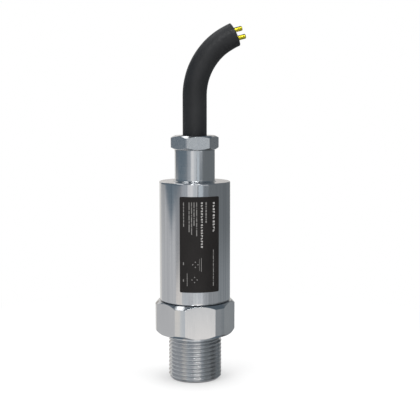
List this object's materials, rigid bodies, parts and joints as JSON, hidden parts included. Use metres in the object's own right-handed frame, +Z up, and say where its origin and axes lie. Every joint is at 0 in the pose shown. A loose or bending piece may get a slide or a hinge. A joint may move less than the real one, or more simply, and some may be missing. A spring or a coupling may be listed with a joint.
{
  "type": "electronic pressure switch",
  "caption": "Cylindrical steel pressure switch with a threaded stud, hexagon, name plate, cable gland with a screw-down nut, and a bent cable with bare conductors.",
  "frame": {"origin": "centre of the threaded stud's end face", "axes": "+Z up the switch from the stud to the cable, -Y out of the name plate, +X towards the side that the cable bends to"},
  "size_m": [0.0342, 0.0278, 0.1332],
  "materials": {
    "stainless_body": "satin turned stainless steel",
    "stainless_turned": "fine turned stainless steel",
    "sensor_steel": "smooth stainless steel",
    "seal_rubber": "matt black rubber",
    "bead_glass": "sealing glass",
    "gilt_contact": "bright yellow metal",
    "silicon": "polished die",
    "board_laminate": "green lacquered laminate",
    "plate_black": "black plate with pale print",
    "cable_black": "soft black sheath",
    "frame_plastic": "natural moulded plastic",
    "chip_plastic": "moulded black",
    "chip_ceramic": "glazed dark ceramic",
    "can_aluminium": "plain can",
    "socket_plastic": "natural moulded plastic",
    "wire_sleeve": "insulated wire"
  },
  "bodies": {
    "root": {"process_connection": "stainless_turned", "weld_ring": "sensor_steel", "sensor_diaphragm": "sensor_steel", "sensor_capsule": "sensor_steel", "sensor_seal_ring": "seal_rubber", "sensor_header": "sensor_steel", "header_glass": "bead_glass", "header_pins": "gilt_contact", "sensor_die": "silicon", "trim_board": "board_laminate", "sensor_lock_ring": "stainless_turned", "housing_seal_ring": "seal_rubber", "housing": "stainless_body", "name_plate": "plate_black", "gland_neck": "stainless_turned", "support_washer": "stainless_turned", "gland_bush": "seal_rubber", "cable_sheath": "cable_black", "upper_conductor": "gilt_contact", "lower_conductor": "gilt_contact", "board_frame": "frame_plastic", "control_board": "board_laminate", "processor_chip": "chip_plastic", "chip_resistors": "chip_ceramic", "supply_capacitor": "can_aluminium", "power_choke": "chip_plastic", "output_transistors": "chip_plastic", "protection_diodes": "chip_plastic", "board_socket": "socket_plastic", "core_plug": "socket_plastic", "core_leads": "wire_sleeve", "sensor_leads": "wire_sleeve"},
    "nut_carrier": {"slip_washer": "stainless_turned"},
    "nut": {"gland_nut": "stainless_turned"}
  },
  "joints": [
    {"name": "nut_rise", "type": "slide", "parent": "root", "child": "nut_carrier", "axis": [0, 0, 1], "range_m": [0, 0.005]},
    {"name": "nut_turn", "type": "hinge", "parent": "nut_carrier", "child": "nut", "pos_m": [0, 0, 0.0868], "axis": [0, 0, 1], "range_deg": [0, 1800]}
  ],
  "couplings": [
    {"joint": "nut_rise", "follows": "nut_turn", "m_per_rad": 0.00015915}
  ]
}
